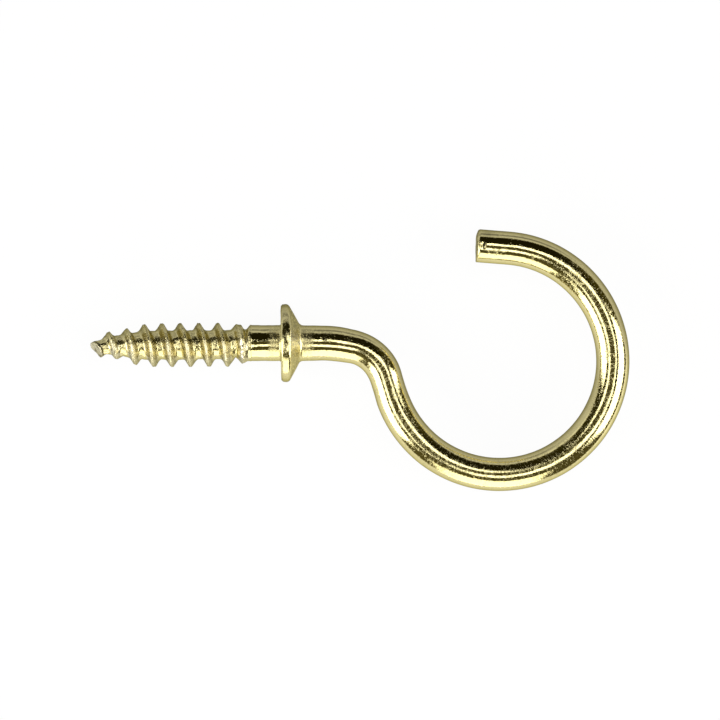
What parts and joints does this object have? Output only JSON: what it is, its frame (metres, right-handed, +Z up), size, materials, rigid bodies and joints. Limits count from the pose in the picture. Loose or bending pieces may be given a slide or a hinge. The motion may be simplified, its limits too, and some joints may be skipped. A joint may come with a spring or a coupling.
{
  "type": "cup hook",
  "caption": "Round open hook bent from wire, with a collar that seats on the wood and a tapered wood-screw thread with a gimlet point.",
  "frame": {"origin": "centre of the collar's bearing face, on the screw's axis", "axes": "the hook lies on its side: +X from the point of the screw to the far side of the loop, +Z up, square to the plane of the bends, so the loop's mouth faces -X and +Y"},
  "size_m": [0.0503, 0.0244, 0.0073],
  "materials": {
    "brass_plate": "bright plated, lightly scuffed"
  },
  "bodies": {
    "root": {"cup_hook": "brass_plate"}
  },
  "joints": []
}
